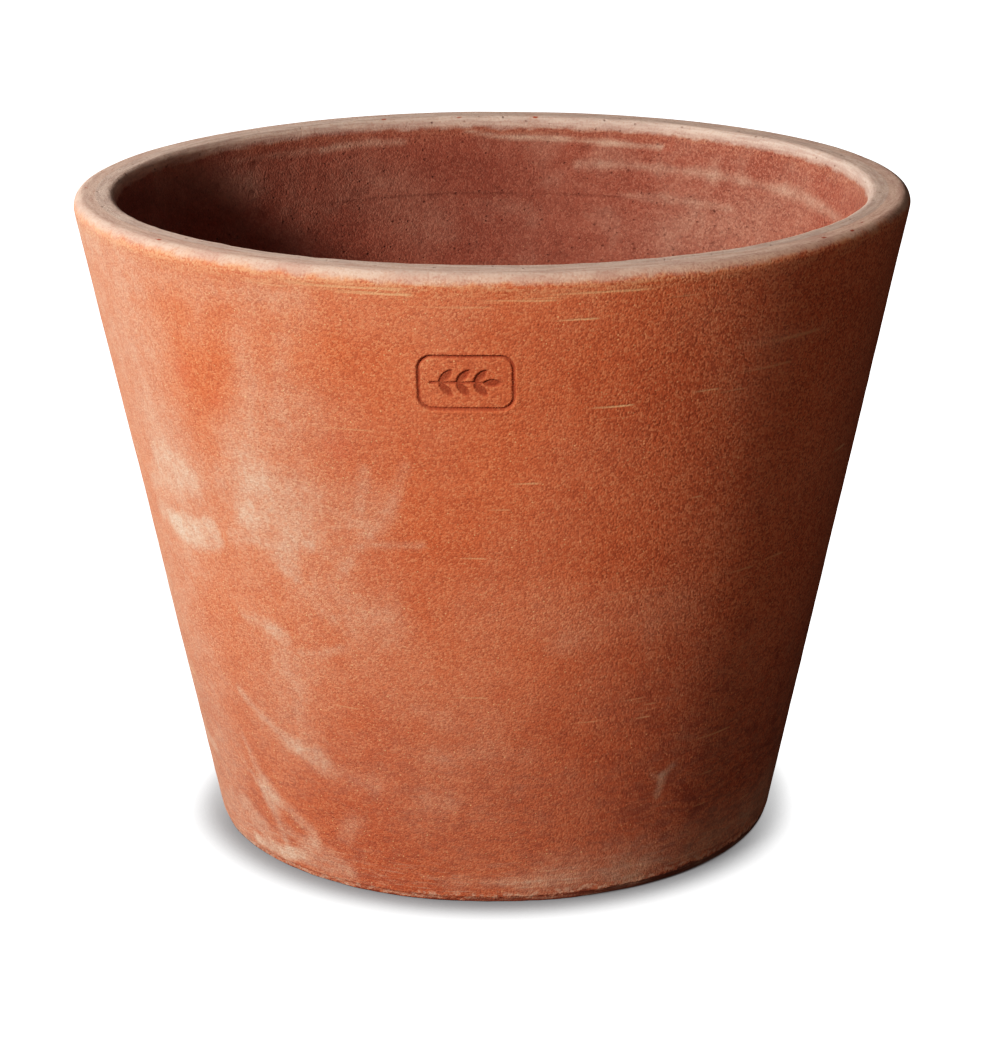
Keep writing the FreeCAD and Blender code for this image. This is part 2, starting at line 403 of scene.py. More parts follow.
# Redder spots where the clay is bare: angle, height and radius in mm.
RED_SPOTS = [(3.8, 112, 2.6), (-37.5, 246, 4.0), (-34, 216, 2.5), (27, 22, 2.5), (48, 262, 2.0),
             (-18, 234, 7.0), (-43, 256, 7.0), (118, 180, 4.0), (170, 90, 5.0),
             (-120, 220, 4.0)]

# Chips on top of the lip: angle, distance in mm outwards from its middle, and radius in mm.
LIP_CHIPS = [(-45, 6.0, 1.5), (52, 5.0, 2.2), (58, 7.0, 1.8), (63, 3.0, 1.4), (-158, -7.0, 1.8),
             (176, -7.5, 2.2), (-171, -8.0, 1.6), (112, 6.0, 1.8), (140, 4.0, 1.5),
             (-84, 5.0, 1.6)]

# Short pale scratches on the outside, all parallel to the rim as left by turning:
# strength, half width in mm, two angles and the height.
SCRATCHES = [
    (0.70, 0.32, 15.5, 22.5, 253), (0.50, 0.32, 30, 35, 255), (0.30, 0.28, 34, 40, 253),
    (0.60, 0.32, 10.5, 17, 294), (0.40, 0.32, 5.5, 10, 218.5), (0.25, 0.28, 2, 6, 206),
    (0.40, 0.32, 32, 34.8, 203.5), (0.40, 0.28, -2, 2.6, 182), (0.35, 0.32, 41, 48, 160.5),
    (0.40, 0.36, 50, 55, 162), (0.18, 0.28, 19, 32, 161), (0.40, 0.36, 40, 50, 75),
    (0.45, 0.32, 27, 30.5, 94), (0.28, 0.28, 28, 31.2, 100.5), (0.24, 0.28, 23.5, 29, 104.5),
    (0.24, 0.28, 15.5, 21, 96), (0.28, 0.28, -4, 2.6, 111.5), (0.25, 0.28, -25, -19, 101),
    (0.32, 0.32, 43, 47, 54), (0.28, 0.32, 42.5, 46.5, 37), (0.35, 0.36, 58, 62, 28),
    (0.28, 0.40, 37, 48, 261), (0.30, 0.56, 41, 53, 273), (0.60, 0.48, 65, 71, 203),
    (0.20, 0.28, -22, -12, 242), (0.45, 0.40, -24, -6, 308), (0.50, 0.36, -17, -5.5, 305.5),
    (0.40, 0.36, 1, 12, 303.5), (0.50, 0.36, 8, 24, 306), (0.22, 0.32, -8, 4, 300.5),
    (0.22, 0.28, 24, 30, 301), (0.20, 0.28, -30, -22, 306),
]

# Lower edge of the pale band at the lip, in mm above the ground, by angle.
BAND_OUTSIDE = [(-180, 311), (-120, 311), (-85, 312), (-60, 312.5), (-38, 312.5), (-24, 312),
                (-8, 311), (4, 311), (16, 311), (30, 311.5), (45, 312), (60, 313),
                (90, 312), (135, 311), (180, 311)]
BAND_INSIDE = [(-180, 309.5), (-150, 310), (-120, 309), (-60, 310), (0, 309), (60, 310),
               (110, 309.5), (150, 309.5), (180, 309.5)]

# Upper edge of the torn clay at the foot, in mm, and how much of the bevel is left, by angle.
FOOT_TORN = [(-180, 2.5), (-110, 2.5), (-60, 0.0), (-30, 0.4), (-12, 1.6), (8, 3.2), (30, 4.2),
             (45, 4.8), (60, 4.2), (100, 2.4), (180, 2.5)]
FOOT_BEVEL_LEFT = [(-180, 0.5), (-110, 0.5), (-65, 0.2), (-20, 0.3), (0, 0.45), (30, 0.5),
                   (55, 0.4), (85, 0.0), (120, 0.3), (180, 0.5)]


def by_angle(table):
    """Value for each column of a table of (angle, value)."""
    return np.interp(angle_between(ANGLE, 0), *zip(*table))[None, :]


def random_marks():
    """Bloom and scratches for the sides and the back, like those in front."""
    bloom = []
    for _ in range(30):
        angle = RNG.uniform(78, 278)
        height = RNG.uniform(20, 290)
        points = [(angle, height)]
        for _ in range(RNG.integers(1, 4)):
            angle += RNG.uniform(-9, 9)
            height = float(np.clip(height + RNG.uniform(-24, 16), 8, 296))
            points.append((angle, height))
        width = RNG.uniform(1.5, 14)
        strength = RNG.uniform(0.12, 0.32) * min(1, 8 / width)
        bloom.append((strength, 3 + width * 0.7, width, width * RNG.uniform(0.4, 1.1), points))
    bloom.append((0.16, 30, 60, 50, [(110, 90), (150, 200)]))
    bloom.append((0.20, 30, 60, 60, [(220, 240), (270, 120)]))
    scratches = []
    for _ in range(46):
        angle = RNG.uniform(72, 288)
        scratches.append((RNG.uniform(0.25, 0.6), 0.42, angle, angle + RNG.uniform(2, 9),
                          RNG.uniform(30, 308)))
    return bloom, scratches


def paint_bloom(marks, inside):
    """Amount of pale bloom over the grid, 0 to 1, with soft uneven edges."""
    uneven = 2.2 * lumps(BASE, 19 * MM, 37) + 1.8 * lumps(BASE, 9 * MM, 31)
    uneven = uneven + lumps(BASE, 4 * MM, 32)
    clear = np.ones(BASE.shape[:2])
    for strength, soft, start, end, points in marks:
        past = beyond_stroke(points, start, end, inside) + uneven * min(1, (start + soft) / 8)
        clear *= 1 - strength * step(soft, -soft, past)
    return 1 - clear


def paint_red():
    """Where the bare clay shows redder, 0 to 1."""
    total = np.zeros(BASE.shape[:2])
    for angle, height, size in RED_SPOTS:
        past = beyond_stroke([(angle, height), (angle + 0.2, height)], 0, 0, False)
        past = past + 0.3 * size * lumps(BASE, 5 * MM, 33)
        total = np.maximum(total, step(1.4 * size, 0.4 * size, past))
    for angle, outwards, size in LIP_CHIPS:
        across = (LENGTH[:, None] - LENGTH[PLACE["lip_middle"]]) / MM + outwards
        around = np.radians(angle_between(ANGLE, angle))[None, :] * ROW_R[:, None] / MM
        past = np.hypot(across * 1.6, around) + 0.5 * lumps(BASE, 2.5 * MM, 35)
        total = np.maximum(total, 2 * step(1.3 * size, 0.7 * size, past))
    return total


def paint_scratches(marks):
    """Distance across the nearest scratch, in half widths and signed, and its strength."""
    across = np.full(BASE.shape[:2], NO_SCRATCH)
    share = np.zeros(BASE.shape[:2])
    nearest = np.full(BASE.shape[:2], FAR)
    drift = 0.35 * lumps(BASE, 16 * MM, 34)
    for strength, width, start, end, height in marks:
        level = outer(height * MM) / MM
        along = angle_between(ANGLE, start)[None, :] / (end - start)
        off = (ROW_Z[:, None] / MM - height) + drift
        past = np.maximum(np.maximum(-along, along - 1), 0) * math.radians(end - start) * level
        distance = np.hypot(off, past)
        closer = IS_OUTSIDE[:, None] & (distance < nearest) & (distance < SCRATCH_REACH)
        taper = (0.3 + 0.7 * step(0, 0.7, along)) * step(0, 0.2, along) * step(1, 0.85, along)
        across = np.where(closer, off / width, across)
        share = np.where(closer, strength * taper, share)
        nearest = np.where(closer, distance, nearest)
    return across, share


def paint_lip():
    """Height in mm above the lower edge of the pale band at the lip."""
    edge = np.where(IS_OUTSIDE[:, None], by_angle(BAND_OUTSIDE), by_angle(BAND_INSIDE))
    return ROW_Z[:, None] / MM - edge


def paint_foot():
    """Height in mm above the upper edge of the torn clay at the foot."""
    return ROW_Z[:, None] / MM - by_angle(FOOT_TORN)


def paint_crease():
    """Where the joint of the rim's band shows as a dark line inside, 0 to 1: painted shade under
    the ledge at the joint.
    """
    off = (ROW_Z[:, None] - RIM_SEAM_IN_Z) / MM + 0.8 * lumps(BASE, 30 * MM, 36)
    shown = step(-0.35, 0.35, lumps(BASE, 60 * MM, 6)) * step(-0.5, 0.4, lumps(BASE, 11 * MM, 38))
    return step(1.0, 0.1, np.abs(off)) * shown * IS_INSIDE[:, None]


# ---- relief ----
STAMPED_FIELD = 0.22 * MM       # how far the whole field of the seal is pressed in
SQUEEZED_UP = 0.18 * MM         # clay that the stamp pushed up round itself
OVAL = 0.35 * MM                # how far the wall is out of round, twice round it
THREE_SIDED = 0.25 * MM         # and three times round it
BROAD_DENTS = 0.25 * MM
LEDGE = 0.32 * MM               # step at the rim's joint inside
DRESSED = 0.20 * MM             # worn off the lip in places
DEEP_PIT = 0.8 * MM             # a pit this deep gets the darkest painted shade

# Pits: how many, the outline rows they lie between, and their radii and depths in mm.
PITS = [
    (12, PLACE["foot_seam"], PLACE["rim_seam_out"], (1.2, 2.0), (0.2, 0.4)),
    (16, PLACE["rim_seam_out"], PLACE["rim_seam_in"], (1.1, 1.7), (0.2, 0.5)),
    (520, PLACE["lip_middle"] + 12, len(ROW) - 1, (1.5, 2.3), (0.3, 0.8)),
    (60, PLACE["hole_bottom"], PLACE["foot_edge"], (2, 5), (0.4, 1.2)),
]


def leaf_depth(along, up, degrees, u, v):
    """Signed distance to a pointed leaf that starts on the stem, below zero inside."""
    q = math.radians(degrees)
    x = (u - along) * math.cos(q) + (v - up) * math.sin(q) - LEAF_LENGTH / 2
    y = (v - up) * math.cos(q) - (u - along) * math.sin(q)
    half = LEAF_LENGTH / 2
    bulge = LEAF_WIDTH / 2
    radius = (half * half + bulge * bulge) / (2 * bulge)
    centre = radius - bulge
    return np.maximum(np.hypot(x, y - centre), np.hypot(x, y + centre)) - radius


def seal_relief():
    """Depth of the stamp's impression over the grid, and where its lines are, 0 to 1."""
    u = TURN[None, :] * 0 + np.radians(angle_between(ANGLE, 0))[None, :] * ROW_R[:, None]
    v = (ROW_Z[:, None] - SEAL_Z) / math.cos(LEAN) + 0 * u
    straight_u = SEAL_WIDTH / 2 - SEAL_CORNER_RADIUS
    straight_v = SEAL_LENGTH_UP / 2 - SEAL_CORNER_RADIUS
    du = np.abs(u) - straight_u
    dv = np.abs(v) - straight_v
    edge = (np.hypot(np.maximum(du, 0), np.maximum(dv, 0)) + np.minimum(np.maximum(du, dv), 0)
            - SEAL_CORNER_RADIUS)
    frame_line = np.abs(edge + SEAL_LINE_WIDTH / 2) - SEAL_LINE_WIDTH / 2
    stem_start = -SPRIG_LENGTH / 2
    stem_end = SPRIG_LENGTH / 2 - LEAF_LENGTH
    middle = (stem_start + stem_end) / 2
    past_end = np.abs(u - middle) - (stem_end - stem_start) / 2
    lines = np.maximum(np.abs(v) - STEM_WIDTH / 2, past_end)
    lines = np.minimum(lines, leaf_depth(stem_end, 0, 0, u, v))
    spacing = (stem_end - stem_start) / LEAF_PAIRS
    for pair in range(LEAF_PAIRS):
        along = stem_start + spacing * (pair + 0.5)
        for lean in (LEAF_LEAN, -LEAF_LEAN):
            lines = np.minimum(lines, leaf_depth(along, 0, lean, u, v))
    lines = np.minimum(lines, frame_line)
    near = IS_OUTSIDE[:, None] & (edge < SEAL_MARGIN)
    uneven = 0.85 + 0.25 * lumps(BASE, 9 * MM, 41)
    cut = SEAL_IMPRESSION * uneven * step(0.35 * MM, -0.35 * MM, lines)
    field = STAMPED_FIELD * step(0.5 * MM, -1.5 * MM, edge)
    ridge = SQUEEZED_UP * step(3.5 * MM, 0.6 * MM, edge) * step(-0.2 * MM, 0.6 * MM, edge)
    depth = np.where(near, cut + field - ridge, 0.0)
    stamped = np.where(near, step(0.5 * MM, -0.3 * MM, lines), 0.0)
    return depth, stamped


def pits(count, first_row, last_row, size, depth):
    """Depth over the grid of small holes where grit or air was."""
    cut = np.zeros(BASE.shape[:2])
    low, high = sorted((LENGTH[first_row], LENGTH[last_row]))
    for _ in range(count):
        where = RNG.uniform(low, high)
        angle = RNG.uniform(-180, 180)
        reach = RNG.uniform(*size) * MM
        deep = RNG.uniform(*depth) * MM
        squash = RNG.uniform(0.6, 1.0)
        near_rows = np.where(np.abs(LENGTH - where) < 2 * reach)[0]
        if len(near_rows) == 0:
            continue
        radius = ROW_R[near_rows].mean()
        x = np.radians(angle_between(ANGLE, angle)) * radius
        near_columns = np.where(np.abs(x) < 2 * reach)[0]
        distance = np.hypot(x[near_columns][None, :] * squash,
                            (LENGTH[near_rows] - where)[:, None]) / reach
        block = np.ix_(near_rows, near_columns)
        cut[block] = np.maximum(cut[block], deep * step(1.0, 0.25, distance))
    return cut


def relief():
    """How far each point stands out of the plain shape; its pits and its stamp, 0 to 1."""
    inside_share = step(0, 8 * MM, LENGTH - LENGTH[PLACE["lip_middle"]])[:, None]
    inside_share = np.where(ROW_ID[:, None] < PLACE["foot_edge"], 1.0, inside_share)
    z = ROW_Z[:, None]
    turn = TURN[None, :]

    form = OVAL * np.cos(2 * turn + 0.7) + THREE_SIDED * np.cos(3 * turn + 2.1)
    form = form * step(0, 60 * MM, z)
    form = form + BROAD_DENTS * lumps(BASE, 90 * MM, 1)
    pressed = (0.10 + 0.30 * inside_share) * MM * lumps(BASE, 34 * MM, 2)
    grain = lumps(BASE, 8 * MM, 3) + 0.7 * lumps(BASE, 5 * MM, 4)
    grain = (0.035 + 0.11 * inside_share) * MM * grain
    turned = (0.05 + 0.10 * inside_share) * MM * lumps(BASE, 60 * MM, 5, flatten=11)

    above_joint = z - RIM_SEAM_IN_Z + 0.8 * MM * lumps(BASE, 30 * MM, 36)
    ledge = step(-0.8 * MM, 0.8 * MM, above_joint) * step(40 * MM, 12 * MM, above_joint)
    ledge = LEDGE * ledge * inside_share * step(-0.7, 0.3, lumps(BASE, 60 * MM, 6))

    near_foot = step(9 * MM, 3 * MM, z) * IS_OUTSIDE[:, None]
    torn = 0.20 + 0.25 * lumps(BASE, 9 * MM, 7) + 0.25 * lumps(BASE, 4 * MM, 8)
    foot = -near_foot * MM * torn * by_angle(FOOT_BEVEL_LEFT)
    lip = step(20 * MM, 6 * MM, HEIGHT - z)
    dressed = -DRESSED * lip * step(0.1, 0.9, lumps(BASE, 40 * MM, 9, flatten=5))

    holes = sum(pits(*kind) for kind in PITS)
    stamp, stamped = seal_relief()
    raised = form + pressed + grain + turned + ledge + foot + dressed
    return raised - holes - stamp, holes / DEEP_PIT, stamped


# ---- meshes ----
def ring(name, rows, grid, paint, materials, seams):
    """Closed ring of quads through rows of the grid, with a sharp edge at each row of seams."""
    columns = len(ANGLE)
    points = grid[rows].reshape(-1, 3)
    start = np.arange(len(rows))[:, None] * columns
    after = np.roll(start, -1, axis=0)
    here = np.arange(columns)[None, :]
    beside = np.roll(here, -1, axis=1)
    quads = np.stack([start + here, start + beside, after + beside, after + here], axis=-1)
    quads = quads.reshape(-1, 4)

    mesh = bpy.data.meshes.new(name)
    mesh.vertices.add(len(points))
    mesh.vertices.foreach_set("co", points.astype(np.float32).ravel())
    mesh.loops.add(quads.size)
    mesh.loops.foreach_set("vertex_index", quads.astype(np.int32).ravel())
    mesh.polygons.add(len(quads))
    mesh.polygons.foreach_set("loop_start", np.arange(0, quads.size, 4, dtype=np.int32))
    mesh.update(calc_edges=True)
    for label, values in paint.items():
        layer = mesh.attributes.new(label, "FLOAT", "POINT")
        layer.data.foreach_set("value", values[rows].astype(np.float32).ravel())

    for material in materials:
        mesh.materials.append(material)
    slots = np.repeat([row_slot(row) for row in rows], columns)
    mesh.polygons.foreach_set("material_index", slots.astype(np.int32))
    mesh.polygons.foreach_set("use_smooth", np.ones(len(quads), bool))
    corners = [rows.index(row) for row in seams]
    ends = np.zeros(len(mesh.edges) * 2, np.int32)
    mesh.edges.foreach_get("vertices", ends)
    edge_rows = ends.reshape(-1, 2) // columns
    sharp = (edge_rows[:, 0] == edge_rows[:, 1]) & np.isin(edge_rows[:, 0], corners)
    layer = mesh.attributes.new("sharp_edge", "BOOLEAN", "EDGE")
    layer.data.foreach_set("value", sharp)
    mesh.update()

    piece = bpy.data.objects.new(name, mesh)
    bpy.context.scene.collection.objects.link(piece)
    return piece


OUTSIDE_SLOT, INSIDE_SLOT, UNDER_SLOT = 0, 1, 2


def row_slot(row):
    """Which clay the strip after this row shows."""
    if PLACE["foot_edge"] <= row < PLACE["lip_middle"]:
        return OUTSIDE_SLOT
    if PLACE["hole_top"] <= row < PLACE["foot_edge"]:
        return UNDER_SLOT
    return INSIDE_SLOT


# ---- node trees ----
class Nodes:
    """Short calls for a node tree. A value is a number, a tuple or an output socket."""

    def __init__(self, tree):
        self.tree = tree
        tree.nodes.clear()

    def add(self, kind, inputs=None, **settings):
        node = self.tree.nodes.new(kind)
        for key, value in settings.items():
            setattr(node, key, value)
        for key, value in (inputs or {}).items():
            self.feed(node.inputs[key], value)
        return node

    def feed(self, socket, value):
        if isinstance(value, bpy.types.NodeSocket):
            self.tree.links.new(value, socket)
        else:
            socket.default_value = value

    def math(self, operation, a, b=0.0, clamp=False):
        node = self.add("ShaderNodeMath", {0: a, 1: b}, operation=operation, use_clamp=clamp)
        return node.outputs[0]

    def times(self, a, b):
        return self.math("MULTIPLY", a, b)

    def plus(self, a, b):
        return self.math("ADD", a, b)

    def span(self, value, low, high, to_low=0.0, to_high=1.0):
        """value's way from low to high, smoothed, as a number from to_low to to_high."""
        return self.add("ShaderNodeMapRange", {
            "Value": value, "From Min": low, "From Max": high, "To Min": to_low, "To Max": to_high,
        }, interpolation_type="SMOOTHSTEP").outputs[0]

    def mix(self, share, a, b, blend="MIX"):
        node = self.add("ShaderNodeMix", data_type="RGBA", blend_type=blend, clamp_factor=True)
        for index, value in ((0, share), (6, a), (7, b)):
            self.feed(node.inputs[index], value)
        return node.outputs[2]

    def attribute(self, label):
        return self.add("ShaderNodeAttribute", attribute_name=label).outputs["Fac"]

    def stretched(self, place, x, y, z):
        node = self.add("ShaderNodeVectorMath", {0: place, 1: (x, y, z)}, operation="MULTIPLY")
        return node.outputs[0]

    def noise(self, place, size, detail=2.0, rough=0.5, warp=0.0):
        """Noise about 0.5 with lumps of that size in metres."""
        return self.add("ShaderNodeTexNoise", {
            "Vector": place, "Scale": 1 / size, "Detail": detail, "Roughness": rough,
            "Distortion": warp,
        }).outputs["Fac"]

    def grains(self, place, size):
        """Distance to the nearest of scattered points, and a random number for that point."""
        node = self.add("ShaderNodeTexVoronoi", {"Vector": place, "Scale": 1 / size})
        shade = self.add("ShaderNodeSeparateColor", {0: node.outputs["Color"]})
        return node.outputs["Distance"], shade.outputs[0]


# ---- clay ----
def colour(red, green, blue):
    """sRGB out of 255 as the linear colour that nodes take."""
    def linear(c):
        c = c / 255
        return c / 12.92 if c <= 0.04045 else ((c + 0.055) / 1.055) ** 2.4
    return (linear(red), linear(green), linear(blue), 1.0)


PALE_BLOOM = colour(220, 190, 165)
SCRATCH_BUFF = colour(226, 172, 128)
LIP_BUFF = colour(212, 186, 168)
LIP_GREY = colour(188, 161, 146)
LIP_RED = colour(178, 116, 90)
LIP_PEACH = colour(218, 158, 118)
CHIP_RED = colour(160, 72, 48)
DARK_SAND_AND_PIT_SHADE = colour(84, 36, 24)
DEEP_RED = colour(126, 42, 24)
RAW_RED = colour(124, 58, 40)
RAW_FOOT_SHADE = colour(66, 24, 18)
SEAL_LINE_SHADE = colour(132, 54, 30)
CRUMB_PALE = colour(214, 172, 148)
SAND = colour(240, 190, 140)
BARE_RED = colour(196, 84, 52)
LOW_DARK = colour(130, 70, 57)

# speckle_and_side_shade and sand: how strongly the grains show, the first painted stronger to the
# right of the seal as shading of the grain; coarse and fine: relief of the grain in mm; bloom,
# tinge, pitted and wear: how much lime bloom with painted sheen, peach tinge, fine pits with
# painted shade, and scuffs there are.
CLAYS = {
    "outside_clay": SimpleNamespace(
        light=colour(212, 115, 76), middle=colour(202, 105, 67), deep=colour(188, 90, 54),
        pale_grit=colour(228, 160, 118), dark_grit=colour(140, 62, 38),
        speckle_and_side_shade=1.0, sand=0.55, coarse=0.07, fine=0.18,
        bloom=1.0, tinge=1.0, pitted=0.0, wear=0.0),
    "inside_clay": SimpleNamespace(
        light=colour(163, 93, 73), middle=colour(149, 81, 62), deep=colour(127, 63, 47),
        pale_grit=colour(206, 144, 120), dark_grit=colour(84, 37, 28),
        speckle_and_side_shade=0.65, sand=0.15, coarse=0.20, fine=0.26,
        bloom=0.9, tinge=0.2, pitted=1.0, wear=0.1),
    "underside_clay": SimpleNamespace(
        light=colour(196, 120, 90), middle=colour(176, 98, 72), deep=colour(148, 76, 54),
        pale_grit=colour(208, 150, 118), dark_grit=colour(128, 64, 44),
        speckle_and_side_shade=1.0, sand=0.30, coarse=0.36, fine=0.30,
        bloom=0.9, tinge=0.0, pitted=0.6, wear=1.0),
}


class ClayNodes(Nodes):
    """Node tree of one clay, with the places and the noises that its layers share."""

    def __init__(self, tree, clay):
        super().__init__(tree)
        self.place = self.add("ShaderNodeTexCoord").outputs["Object"]
        self.x, y, self.height = self.add("ShaderNodeSeparateXYZ", {0: self.place}).outputs
        flat = self.stretched(self.place, 1.0, 1.0, 0.0)
        radius = self.add("ShaderNodeVectorMath", {0: flat}, operation="LENGTH").outputs["Value"]
        across_turning = self.plus(self.height, radius)
        self.turned = self.add("ShaderNodeCombineXYZ",
                               {0: self.x, 1: y, 2: across_turning}).outputs[0]
        self.mottle = self.noise(self.place, 0.014, 3.0, 0.55, 0.4)
        self.peel = self.noise(self.place, 0.0026, 2.0, 0.6)
        self.grit_distance, self.grit = self.grains(self.place, 0.0009)
        self.broken = self.plus(self.times(self.peel, 0.8), self.times(self.grit, 0.2))
        # the grains show up to 1.7 times as strongly to the right of the seal: painted shading of
        # the grain on the side the light only grazes
        self.speckle_and_side_shade = self.span(self.x, 0.02, 0.13, clay.speckle_and_side_shade, 1.7 * clay.speckle_and_side_shade)
        self.red = self.attribute("red")
        self.above_band = self.attribute("lip_height")

    def drawn_round(self, stretch, size, detail, rough):
        """Noise drawn out round the pot, as a tool or a brush leaves it while the pot turns."""
        return self.noise(self.stretched(self.turned, 1.0, 1.0, stretch), size, detail, rough)

    def centred(self, value, scale):
        """value from 0 to 1 as a number about 0."""
        return self.times(self.math("SUBTRACT", value, 0.5), scale)


def clay_body(n, clay):
    """Clouded and banded body colour, with its dark and pale grains."""
    clouds = n.noise(n.place, 0.075, 3.0, 0.55)
    banding = n.drawn_round(9.0, 0.055, 4.0, 0.6)
    tone = n.plus(n.times(clouds, 0.8), n.times(n.mottle, 0.4))
    tone = n.plus(tone, n.times(banding, 0.4))
    body = n.mix(n.span(tone, 0.55, 1.05), clay.deep, clay.light)
    body = n.mix(0.55, body, clay.middle)
    body = n.mix(n.times(n.span(n.grit, 0.5, 0.0, 0.0, 0.36), n.speckle_and_side_shade), body, clay.dark_grit)
    body = n.mix(n.times(n.span(n.grit, 0.5, 1.0, 0.0, 0.26), n.speckle_and_side_shade), body, clay.pale_grit)
    return n.mix(n.math("MULTIPLY", n.red, 0.28, clamp=True), body, BARE_RED)


def darkened_below(n, body, clay):
    """Darker towards the bottom with streaked stains low down, and redder patches low to the right
    of the seal.
    """
    body = n.mix(n.span(n.height, 0.150, 0.050, 0.0, 0.22), body, LOW_DARK)
    stain = n.drawn_round(2.5, 0.009, 4.0, 0.7)
    stain = n.times(n.span(stain, 0.46, 0.60), n.span(n.height, 0.150, 0.030, 0.0, 0.30))
    body = n.mix(n.times(stain, n.speckle_and_side_shade), body, LOW_DARK)
    patchy = n.drawn_round(1.8, 0.017, 6.0, 0.72)
    low_right = n.times(n.span(n.x, 0.02, 0.11), n.span(n.height, 0.200, 0.080, 0.0, clay.bloom))
    body = n.mix(n.times(n.span(patchy, 0.50, 0.36), n.times(low_right, 0.38)), body, DEEP_RED)
    return n.mix(n.times(n.span(patchy, 0.50, 0.68), n.times(low_right, 0.36)), body, LIP_RED)


def bloomed(n, body, clay):
    """Lime bloom, which lies on the grain's high points, with the painted sheen towards the left
    edge.
    """
    haze = n.span(n.noise(n.place, 0.06, 4.0, 0.6), 0.35, 0.75, 0.0, 0.06 * clay.bloom)
    amount = n.plus(n.times(n.attribute("bloom"), clay.bloom), haze)
    amount = n.times(amount, n.span(n.broken, 0.36, 0.62, 0.80, 1.18))
    amount = n.times(amount, n.span(n.mottle, 0.36, 0.64, 0.80, 1.16))
    return n.mix(amount, body, PALE_BLOOM)


def sanded(n, body, clay):
    """Pale and dark grains of sand."""
    distance, kind = n.grains(n.place, 0.0023)
    size = n.times(kind, 0.22)
    speck = n.times(n.span(distance, size, n.times(size, 0.5)), n.span(kind, 0.56, 0.86))
    body = n.mix(n.times(speck, clay.sand), body, SAND)
    distance, kind = n.grains(n.stretched(n.place, 1.0, 1.0, 1.1), 0.0031)
    speck = n.times(n.span(distance, 0.22, 0.12), n.span(kind, 0.70, 0.90))
    return n.mix(n.times(speck, 0.30), body, DARK_SAND_AND_PIT_SHADE)


def scratched(n, clay):
    """Amount of scratch and hairline; scratch_across is in half widths of a scratch."""
    across = n.math("ABSOLUTE", n.attribute("scratch_across"))
    ragged = n.plus(across, n.centred(n.grit, 1.0))
    share = n.math("MULTIPLY", n.attribute("scratch_share"), 1.4, clamp=True)
    scratch = n.times(n.span(ragged, 2.0, 0.4), share)
    streak = n.drawn_round(34.0, 0.020, 3.0, 0.55)
    here_and_there = n.span(n.noise(n.place, 0.05, 1.0), 0.52, 0.62)
    hairline = n.times(n.span(streak, 0.64, 0.74), here_and_there)
    return n.plus(scratch, n.times(hairline, 0.07 * clay.bloom))


def sponged_lip(n, body, clay):
    """Pale sponged band at the lip, worn thin and red in places, with a peach tinge below it."""
    torn = n.noise(n.stretched(n.place, 1.0, 1.0, 2.5), 0.011, 3.0, 0.55)
    torn = n.plus(n.centred(torn, 5.0), n.centred(n.peel, 1.6))
    edge = n.plus(n.above_band, torn)
    brushed = n.drawn_round(9.0, 0.020, 4.0, 0.6)
    peach = n.span(n.plus(brushed, n.times(n.grit, 0.2)), 0.42, 0.76)
    peach = n.times(n.span(edge, -9.0, 0.0), peach)
    body = n.mix(n.times(peach, 0.55 * clay.tinge), body, LIP_PEACH)
    lip = n.mix(n.span(brushed, 0.35, 0.65), LIP_GREY, LIP_BUFF)
    worn = n.times(n.noise(n.place, 0.020, 4.0, 0.7), 0.8)
    worn = n.span(n.plus(worn, n.times(brushed, 0.3)), 0.60, 0.78)
    lip = n.mix(n.times(worn, 0.30), lip, LIP_RED)
    lip = n.mix(n.span(n.grit, 0.5, 0.0, 0.0, 0.24), lip, LIP_RED)
    band = n.times(n.span(edge, -1.6, 1.4), n.span(n.above_band, 0.0, 5.0, 0.62, 0.92))
    body = n.mix(band, body, lip)
    return n.mix(n.math("SUBTRACT", n.red, 1.0, clamp=True), body, CHIP_RED)


def raw_foot(n, body):
    """Dark torn clay at the foot, darker to the right of the seal as painted shade, with pale
    crumbs along its upper edge.
    """
    crumble = n.centred(n.noise(n.place, 0.006, 4.0, 0.7), 12.0)
    level = n.plus(n.attribute("foot_height"), crumble)
    crumbs = n.times(n.span(level, -0.8, 0.6), n.span(level, 3.0, 1.2))
    body = n.mix(n.times(crumbs, n.span(n.peel, 0.42, 0.58, 0.0, 0.55)), body, CRUMB_PALE)
    # painted shade on the torn clay to the right of the seal
    raw = n.mix(n.span(n.x, 0.02, 0.10), RAW_RED, RAW_FOOT_SHADE)
    return n.mix(n.span(level, 0.0, -1.2, 0.0, 0.74), body, raw)


def rubbed_and_scuffed(n, body, clay):
    """Brushed streaks just above the foot, and dust and scuffs on the underside."""
    rubbed = n.drawn_round(8.0, 0.014, 3.0, 0.6)
    low = n.times(n.span(n.height, 0.032, 0.006), clay.bloom)
    body = n.mix(n.times(low, n.span(rubbed, 0.48, 0.70, 0.0, 0.26)), body, PALE_BLOOM)
    scuff = n.span(n.noise(n.place, 0.03, 5.0, 0.65, 0.6), 0.48, 0.66, 0.0, clay.wear)
    return n.mix(n.times(scuff, 0.6), body, PALE_BLOOM)


def shade_in_dents(n, body):
    """Painted shade in the pits, in the rim's joint and in the seal's lines."""
    # painted shade in the pits
    body = n.mix(n.span(n.attribute("pit"), 0.1, 0.8, 0.0, 0.22), body, DARK_SAND_AND_PIT_SHADE)
    # painted shade under the ledge of the rim's joint
    body = n.mix(n.times(n.attribute("crease"), 0.22), body, DARK_SAND_AND_PIT_SHADE)
    # painted shade in the seal's pressed lines
    return n.mix(n.times(n.attribute("stamped"), 0.70), body, SEAL_LINE_SHADE)


def fine_pits(n, clay):
    """Where the small pits between the grains are, 0 to 1."""
    distance, kind = n.grains(n.stretched(n.place, 1.0, 1.0, 1.4), 0.0042)
    size = n.times(kind, 0.26)
    hole = n.times(n.span(distance, size, n.times(size, 0.4)), n.span(kind, 0.50, 0.75))
    return n.times(hole, clay.pitted)


